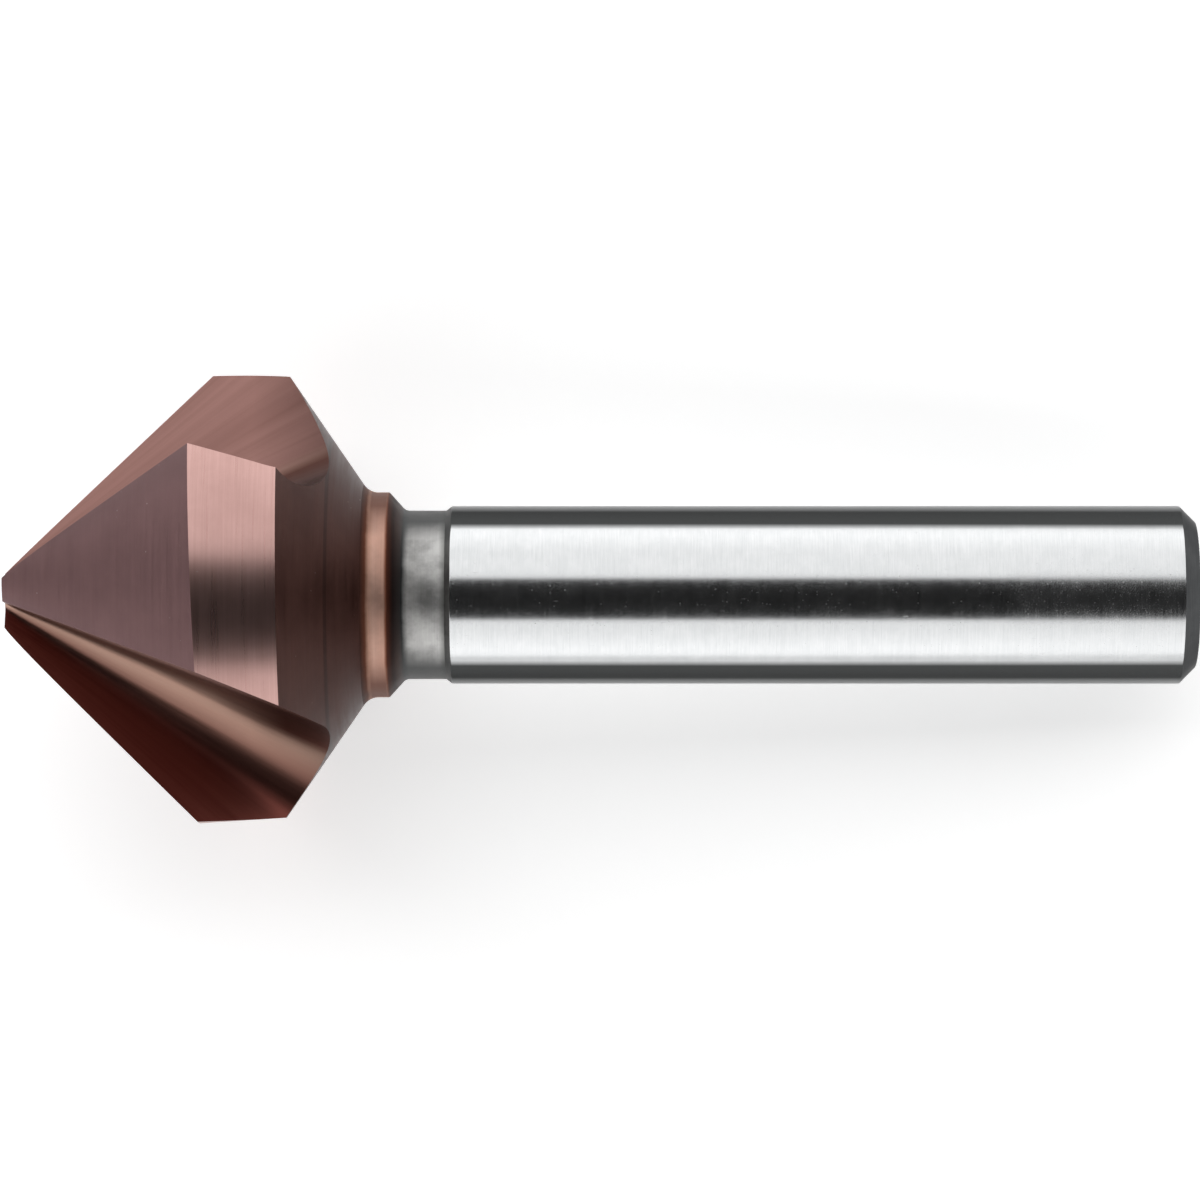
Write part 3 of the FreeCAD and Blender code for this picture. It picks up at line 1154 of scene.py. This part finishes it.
@dataclass(frozen=True)
class FluteCoating:
    """A coated flute, whose wheel lines fan out from an apex in front of the tip face.

    The heel, root and rake colours are lit and shaded copies of one coating: the lighter root
    is a painted highlight and the darker rake wall painted shade. The edge colour is painted
    shade where the flute turns away from the eye. The places of the root and the rake wall are
    shares of the way across the flute. The apex and the stations are in millimetres from the
    tip face, and lean is in degrees.
    """

    name: str
    heel: tuple[Colour, Colour]
    root: tuple[Colour, Colour]
    rake: tuple[Colour, Colour]
    edge: Colour
    roughness: Span
    apex: float = 2.0
    line_density: float = 26.0
    streak_density: float = 3.2
    drift: float = 0.02
    line_share: float = 0.35
    relief: float = 0.002
    root_start: Span = (0.0, 0.2)
    rake_start: Span = (0.45, 0.85)
    exit_stations: Span = (14.0, 18.4)
    exit_tone: float = 0.5
    edge_facing: Span = (0.33, 0.43)
    edge_stations: Span = (12.0, 16.0)
    heel_matt: float = 0.10
    heel_range: Span = (0.05, 0.45)
    lean: float = -17.0
    lean_rise: Span = (0.12, 0.38)
    lean_fall: Span = (0.40, 0.62)
    lean_stations: Span = (8.0, 17.0)

    def streaks(self, sheet: MetalSheet, density: float) -> Socket:
        """Draw noise out along the flutes.

        Args:
            sheet: The material's sheet.
            density: How many streaks there are across a flute.

        Returns:
            The noise, from 0 to 1.
        """
        parts = sheet.add("ShaderNodeSeparateXYZ", {0: sheet.tool}).outputs
        reach = sheet.math("ADD", parts["X"], self.apex)
        place = sheet.add("ShaderNodeCombineXYZ", {
            "Z": sheet.math("MULTIPLY", parts["X"], self.drift),
        })
        for target, source in (("X", "Y"), ("Y", "Z")):
            across = sheet.math("DIVIDE", parts[source], reach)
            sheet.feed(place.inputs[target], sheet.math("MULTIPLY", across, density))
        noise = sheet.noise(place.outputs[0], detail=4.0, roughness=0.6)
        return sheet.remap(noise, 0, 1, *NOISE_RANGE)

    def material(self, groups: FinishGroups) -> bpy.types.Material:
        """Build the material.

        Args:
            groups: The shader groups that the finishes share.

        Returns:
            The material.
        """
        sheet = MetalSheet(self.name, groups)
        line = self.streaks(sheet, self.line_density)
        shade = sheet.blend(line, self.streaks(sheet, self.streak_density), self.line_share)
        across = sheet.add("ShaderNodeAttribute", attribute_name=ACROSS_FLUTE).outputs["Fac"]
        # Lit and shaded copies of one coating: the root's lighter colour is a painted highlight,
        # the rake wall's darker one painted shade.
        heel, root, rake = (sheet.mix(shade, *pair) for pair in (self.heel, self.root, self.rake))
        colour = sheet.mix(sheet.remap(across, 0, 1, *self.root_start), heel, root)
        leaving = sheet.remap(sheet.along, 0, 1, *self.exit_stations)
        colour = sheet.tinted(leaving, colour, self.exit_tone)
        colour = sheet.mix(sheet.remap(across, 0, 1, *self.rake_start), colour, rake)
        # Painted shade: darker towards the edge colour where the flute turns away from the eye,
        # growing along the flute.
        turned = sheet.math("MULTIPLY", sheet.remap(sheet.facing(), 0, 1, *self.edge_facing),
                            sheet.remap(sheet.along, 0, 1, *self.edge_stations))
        colour = sheet.mix(turned, colour, self.edge)
        matt = sheet.math("ADD", sheet.remap(line, *self.roughness),
                          sheet.remap(across, self.heel_matt, 0, *self.heel_range))
        rolled = sheet.window(across, self.lean_rise, self.lean_fall)
        fading = sheet.remap(sheet.along, math.radians(self.lean), 0, *self.lean_stations)
        normal = sheet.leaning(sheet.math("MULTIPLY", rolled, fading))
        return sheet.finish(colour, matt, line, self.relief, normal)


@dataclass(frozen=True)
class TintedCollar:
    """The collar and neck, where the coating's heat leaves bands of colour on the steel.

    Bands and stations are in millimetres from the tip face. The outline is where the
    surface turns away from the eye; there the collar ring and the bare steel are darkened, as
    painted shade that stands for dark surroundings in reflection.
    """

    name: str
    bands: tuple[tuple[float, Colour], ...]
    reach: Span
    roughness: Span
    matt_stations: Span = (21.6, 22.6)
    matt_spread: Span = (-0.05, 0.05)
    blotches: Blotches = Blotches(1.6)
    band_shift: Span = (-0.02, 0.02)
    lines: Lines = Lines(0.07, 0.3)
    line_share: float = 0.3
    tones: Span = (0.66, 1.02)
    steel_stations: Span = (22.0, 22.6)
    stains: Blotches = Blotches(1.7, 0.42, 0.6)
    stain_tone: float = 0.70
    ring_edge: Colour = (0.14, 0.065, 0.048)
    ring_rise: Span = (20.6, 20.8)
    ring_fall: Span = (21.6, 21.75)
    outline_rise: Span = (0.18, 0.50)
    outline_fall: Span = (0.85, 1.0)
    outline_share: float = 0.9
    relief: float = 0.004

    def banded(self, sheet: MetalSheet, along: Socket) -> Socket:
        """Lay the bands of colour along the tool.

        Args:
            sheet: The material's sheet.
            along: The distance from the tip face.

        Returns:
            The bands' colour.
        """
        ramp = sheet.add("ShaderNodeValToRGB", {"Fac": sheet.remap(along, 0, 1, *self.reach)})
        stops = ramp.color_ramp.elements
        ready = len(stops)
        start, end = self.reach
        for index, (station, colour) in enumerate(self.bands):
            share = (station - start) / (end - start)
            stop = stops[index] if index < ready else stops.new(share)
            stop.position = share
            stop.color = (*colour, 1.0)
        return ramp.outputs["Color"]

    def material(self, groups: FinishGroups) -> bpy.types.Material:
        """Build the material.

        Args:
            groups: The shader groups that the finishes share.

        Returns:
            The material.
        """
        sheet = MetalSheet(self.name, groups)
        blotches = sheet.pattern(self.blotches)
        along = sheet.math("ADD", sheet.along, sheet.remap(blotches, *self.band_shift))
        shade = sheet.blend(sheet.pattern(self.lines), blotches, self.line_share)
        tone = sheet.mix(shade, *((grey,) * 3 for grey in self.tones))
        colour = sheet.mix(1.0, self.banded(sheet, along), tone, "MULTIPLY")
        steel = sheet.remap(sheet.along, 0, 1, *self.steel_stations)
        stain = sheet.math("MULTIPLY", sheet.pattern(self.stains), steel)
        colour = sheet.tinted(stain, colour, self.stain_tone)
        # Painted shade: the collar ring and the bare steel darken where they turn away from the
        # eye.
        ring = sheet.window(sheet.along, self.ring_rise, self.ring_fall)
        share = sheet.math("MULTIPLY", sheet.math("ADD", ring, steel), self.outline_share)
        outline = sheet.window(sheet.facing(), self.outline_rise, self.outline_fall)
        painted_shade_colour = sheet.mix(steel, self.ring_edge, PAINTED_OUTLINE_SHADE)
        colour = sheet.mix(sheet.math("MULTIPLY", outline, share), colour, painted_shade_colour)
        matt = sheet.math("ADD", sheet.remap(sheet.along, *self.roughness, *self.matt_stations),
                          sheet.remap(blotches, *self.matt_spread))
        return sheet.finish(colour, matt, shade, self.relief)


@dataclass(frozen=True)
class GroundSteel:
    """Bare ground steel, with its wheel lines and the fine scratches of handling.

    Where its outline is painted, it turns dark as it turns away from the eye: painted shade
    that stands for the reflection of dark surroundings. Stations are in millimetres from the
    tip face.
    """

    name: str
    dark: Colour
    light: Colour
    roughness: Span
    outlined: bool = True
    outline_rise: Span = (0.33, 0.40)
    outline_fall: Span = (0.64, 0.85)
    lines: Lines = Lines(0.05, 0.5)
    blotches: Blotches = Blotches(0.9, 0.4, 0.75)
    line_share: float = 0.6
    nicks: Nicks = Nicks(0.3, 0.26)
    scratches: Nicks = Nicks(0.3, 0.12)
    scratch_turn: Triple = (0.3, 0.5, 0.6)
    scratch_scale: Triple = (0.1, 1.0, 1.0)
    mark_matt: float = 0.25
    dust: Blotches = Blotches(0.07, 0.50, 0.8)
    dust_matt: float = 0.12
    worn_stations: Span = (55.9, 56.7)
    worn_matt: float = 0.03
    relief: float = 0.0012

    def wear(self, sheet: MetalSheet) -> Socket:
        """Collect what makes the steel less bright.

        Args:
            sheet: The material's sheet.

        Returns:
            The roughness that nicks, scratches, dust and use add.
        """
        drawn = sheet.add("ShaderNodeMapping", {
            "Vector": sheet.tool, "Rotation": self.scratch_turn, "Scale": self.scratch_scale,
        })
        marks = sheet.math("MAXIMUM", sheet.pattern(self.nicks),
                           sheet.pattern(self.scratches, drawn.outputs[0]))
        marks = sheet.math("ADD", sheet.math("MULTIPLY", marks, self.mark_matt),
                           sheet.math("MULTIPLY", sheet.pattern(self.dust), self.dust_matt))
        worn = sheet.remap(sheet.along, 0, self.worn_matt, *self.worn_stations)
        return sheet.math("ADD", marks, worn)

    def material(self, groups: FinishGroups) -> bpy.types.Material:
        """Build the material.

        Args:
            groups: The shader groups that the finishes share.

        Returns:
            The material.
        """
        sheet = MetalSheet(self.name, groups)
        sheet.feed(sheet.shader.inputs["Specular Tint"], OUTLINE_TINT)
        line = sheet.pattern(self.lines)
        shade = sheet.blend(line, sheet.pattern(self.blotches), self.line_share)
        colour = sheet.mix(shade, self.dark, self.light)
        # Painted shade: darker where the steel turns away from the eye, standing for dark
        # surroundings in reflection.
        if self.outlined:
            outline = sheet.window(sheet.facing(), self.outline_rise, self.outline_fall)
            colour = sheet.mix(outline, colour, PAINTED_OUTLINE_SHADE)
        matt = sheet.math("ADD", sheet.remap(shade, *self.roughness), self.wear(sheet))
        return sheet.finish(colour, matt, line, self.relief)


FINISHES = {
    # The cone flank darkens where it turns away from the eye: painted shade.
    Surface.CONE_FLANK: GroundCoating(
        "coated_cone", dark=(0.20, 0.110, 0.112), light=(0.262, 0.147, 0.148),
        roughness=(0.36, 0.46), lines=Lines(0.30, 0.12), falloff=0.65),
    Surface.LAND: GroundCoating(
        "coated_land", dark=(0.35, 0.21, 0.19), light=(0.46, 0.286, 0.262),
        roughness=(0.27, 0.295), lines=Lines(0.16, 0.12), relief=0.0003, lean=-2.7),
    Surface.FLUTE: FluteCoating(
        "coated_flute",
        # Heel, root and rake are lit and shaded copies of one coating: painted highlight on the
        # root, painted shade on the rake wall.
        heel=((0.135, 0.065, 0.055), (0.28, 0.152, 0.134)),
        root=((0.25, 0.148, 0.115), (0.36, 0.23, 0.18)),
        rake=((0.13, 0.038, 0.030), (0.215, 0.073, 0.058)),
        # The edge colour is painted shade where the flute turns away from the eye.
        edge=(0.07, 0.026, 0.019), roughness=(0.28, 0.38)),
    Surface.BACK_CONE: GroundCoating(
        "coated_back", dark=(0.042, 0.016, 0.0125), light=(0.070, 0.031, 0.025),
        roughness=(0.34, 0.46), lines=Lines(0.35, 0.12), mark=18.5),
    Surface.COLLAR: TintedCollar(
        "tinted_collar",
        bands=(
            (20.30, (0.06, 0.026, 0.020)), (20.55, (0.11, 0.040, 0.024)),
            (20.74, (0.40, 0.235, 0.175)), (21.00, (0.53, 0.335, 0.268)),
            (21.58, (0.52, 0.315, 0.245)), (21.70, (0.20, 0.08, 0.05)),
            (21.78, (0.07, 0.022, 0.013)), (22.00, (0.03, 0.013, 0.010)),
            (22.10, (0.010, 0.008, 0.009)), (22.55, (0.022, 0.024, 0.025)),
            (22.90, (0.39, 0.385, 0.375)), (24.6, (0.49, 0.485, 0.475)),
            (24.9, (0.24, 0.24, 0.23)),
        ),
        reach=(20.0, 25.5), roughness=(0.58, 0.49)),
    # The shank darkens towards its outline: painted shade for dark surroundings in reflection.
    Surface.SHANK: GroundSteel(
        "ground_shank", dark=(0.48, 0.49, 0.495), light=(0.58, 0.585, 0.59),
        roughness=(0.14, 0.22)),
    # The chamfer is the shank's steel with its base colour darkened far below the shank's: painted
    # shade that stands for the dark surroundings it reflects.
    Surface.SHANK_END: GroundSteel(
        "turned_chamfer_painted_shade", dark=(0.059, 0.061, 0.063), light=(0.092, 0.094, 0.096),
        roughness=(0.24, 0.32), outlined=False),
    Surface.END_FACE: GroundSteel(
        "turned_face", dark=(0.24, 0.243, 0.246), light=(0.36, 0.363, 0.366),
        roughness=(0.3, 0.4), outlined=False),
}


@dataclass(frozen=True)
class SoftCard:
    """A large soft light along the tool.

    Its angles, in degrees, are seen from the tool: its middle from the camera's direction
    towards the picture's top, and half its width. Its distance and length are in metres.
    """

    name: str
    middle: float
    half_angle: float
    radiance: float
    distance: float = 0.8
    length: float = 3.0


@dataclass
class Studio:
    """The floor, the lights and the camera round the tool.

    The view angle is the camera's, round the tool's axis. Places along the tool and the eye's
    distance are in millimetres, the floor's size and the clipping distances in metres. Pixels
    are the photograph's.
    """

    place: Matrix
    view_angle: float = math.radians(160)
    eye_along: float = 36.09
    eye_up: float = -0.29
    aim_along: float = 33.56
    eye_distance: float = 340.0
    pixels_per_mm: float = 17.76
    frame_pixels: float = 1200.0
    sensor_width: float = 36.0
    clip: Span = (0.01, 50.0)
    floor_size: float = 6.0
    floor_tone: float = 0.9
    floor_matt: float = 0.9
    floor_lift: float = 0.4
    wall_tone: float = 0.35
    ceiling_tone: float = 0.015
    ceiling_start: Span = (0.2, 0.6)
    cards: tuple[SoftCard, ...] = (
        SoftCard("upper_card", 59.5, 38.5, 1.5),
        SoftCard("lower_card", -68, 36, 1.45),
    )

    def toward(self, angle: float) -> Vector:
        """Return the way out from the axis, turned from the camera's towards the top."""
        local = around(0, 1, self.view_angle - angle)
        return (self.place.to_3x3() @ local).normalized()

    def axis_point(self, along: float) -> Vector:
        """Return a point of the tool's axis in the row's frame."""
        return self.place @ Vector((along, 0, 0))

    def add_camera(self) -> None:
        """Add the camera at the photograph's angle."""
        up = self.toward(math.pi / 2)
        toward = self.toward(0)
        reach = toward * self.eye_distance + up * self.eye_up
        eye = self.axis_point(self.eye_along) + reach * MM
        aim = self.axis_point(self.aim_along) + up * self.eye_up * MM
        back = (eye - aim).normalized()
        right = up.cross(back).normalized()
        data = bpy.data.cameras.new("camera")
        data.sensor_width = self.sensor_width
        data.lens = data.sensor_width * self.eye_distance * self.pixels_per_mm / self.frame_pixels
        data.clip_start, data.clip_end = self.clip
        camera = bpy.data.objects.new("camera", data)
        turn = Matrix((right, back.cross(right), back)).transposed().to_4x4()
        camera.matrix_world = Matrix.Translation(eye) @ turn
        bpy.context.scene.collection.objects.link(camera)
        bpy.context.scene.camera = camera

    def add_card(self, card: SoftCard) -> None:
        """Add a soft card that faces the middle of the tool.

        Args:
            card: The card.
        """
        data = bpy.data.lights.new(card.name, "AREA")
        data.shape = "RECTANGLE"
        data.size = card.length
        data.size_y = 2 * card.distance * math.tan(math.radians(card.half_angle))
        data.energy = card.radiance * math.pi * data.size * data.size_y
        away = self.toward(math.radians(card.middle))
        axis = (self.place.to_3x3() @ Vector((1, 0, 0))).normalized()
        turn = Matrix((axis, away.cross(axis), away)).transposed().to_4x4()
        centre = self.axis_point(self.aim_along) + away * card.distance
        lamp = bpy.data.objects.new(card.name, data)
        lamp.matrix_world = Matrix.Translation(centre) @ turn
        lamp.visible_camera = False
        bpy.context.scene.collection.objects.link(lamp)

    def add_floor(self) -> None:
        """Add the pale floor, which camera and mirror rays see a little brighter."""
        build = bmesh.new()
        half = self.floor_size / 2
        corners = ((-half, -half), (half, -half), (half, half), (-half, half))
        build.faces.new([build.verts.new((x, y, 0)) for x, y in corners])
        mesh = bpy.data.meshes.new("floor")
        build.to_mesh(mesh)
        build.free()
        floor = bpy.data.objects.new("floor", mesh)
        bpy.context.scene.collection.objects.link(floor)
        material = bpy.data.materials.new("pale_floor")
        material.use_nodes = True
        sheet = NodeSheet(material.node_tree)
        inputs = material.node_tree.nodes["Principled BSDF"].inputs
        sheet.feed(inputs["Base Color"], (self.floor_tone,) * 3)
        sheet.feed(inputs["Roughness"], self.floor_matt)
        sheet.feed(inputs["Specular IOR Level"], 0.0)
        sheet.feed(inputs["Emission Color"], (1, 1, 1))
        rays = sheet.add("ShaderNodeLightPath").outputs
        seen = sheet.math("MAXIMUM", rays["Is Camera Ray"], rays["Is Glossy Ray"])
        seen = sheet.math("MAXIMUM", seen, rays["Is Transmission Ray"])
        sheet.feed(inputs["Emission Strength"], sheet.math("MULTIPLY", seen, self.floor_lift))
        mesh.materials.append(material)

    def set_world(self) -> None:
        """Set the room round the cards: pale walls under a dark ceiling."""
        world = bpy.data.worlds.new("room")
        world.use_nodes = True
        sheet = NodeSheet(world.node_tree)
        way = sheet.add("ShaderNodeTexCoord").outputs["Generated"]
        parts = sheet.add("ShaderNodeSeparateXYZ", {0: way})
        tone = sheet.remap(parts.outputs["Z"], self.wall_tone, self.ceiling_tone,
                           *self.ceiling_start)
        grey = sheet.add("ShaderNodeCombineColor", dict.fromkeys(("Red", "Green", "Blue"), tone))
        sheet.feed(world.node_tree.nodes["Background"].inputs["Color"], grey.outputs[0])
        bpy.context.scene.world = world

    def build(self) -> None:
        """Build the whole studio."""
        bpy.context.scene.view_settings.view_transform = "Standard"
        self.add_camera()
        self.add_floor()
        self.set_world()
        for card in self.cards:
            self.add_card(card)


def main() -> None:
    """Build the tool and its studio."""
    blank = TurnedBlank()
    grinder = ToothGrinder(blank)
    place = RestingPlace(frame["record"], blank.shank.overall_length).matrix()
    groups = FinishGroups(place)
    finishes = {surface: FINISHES[surface].material(groups) for surface in Surface}
    turned = blank.build()
    pattern = ToothPattern(grinder.cutters())
    tool = pattern.grind(turned, blank.head.tooth_count, "ground_countersink",
                         finishes[Surface.FLUTE])
    FaceSorter(grinder).sort(tool, finishes)
    FluteMap(grinder.flute).write(tool)
    tool.data.transform(place)
    LOG.info("ground_countersink: %d faces", len(tool.data.polygons))
    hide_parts(NODE)
    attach(tool, BODY)
    Studio(place).build()


if __name__ == "__main__":
    main()
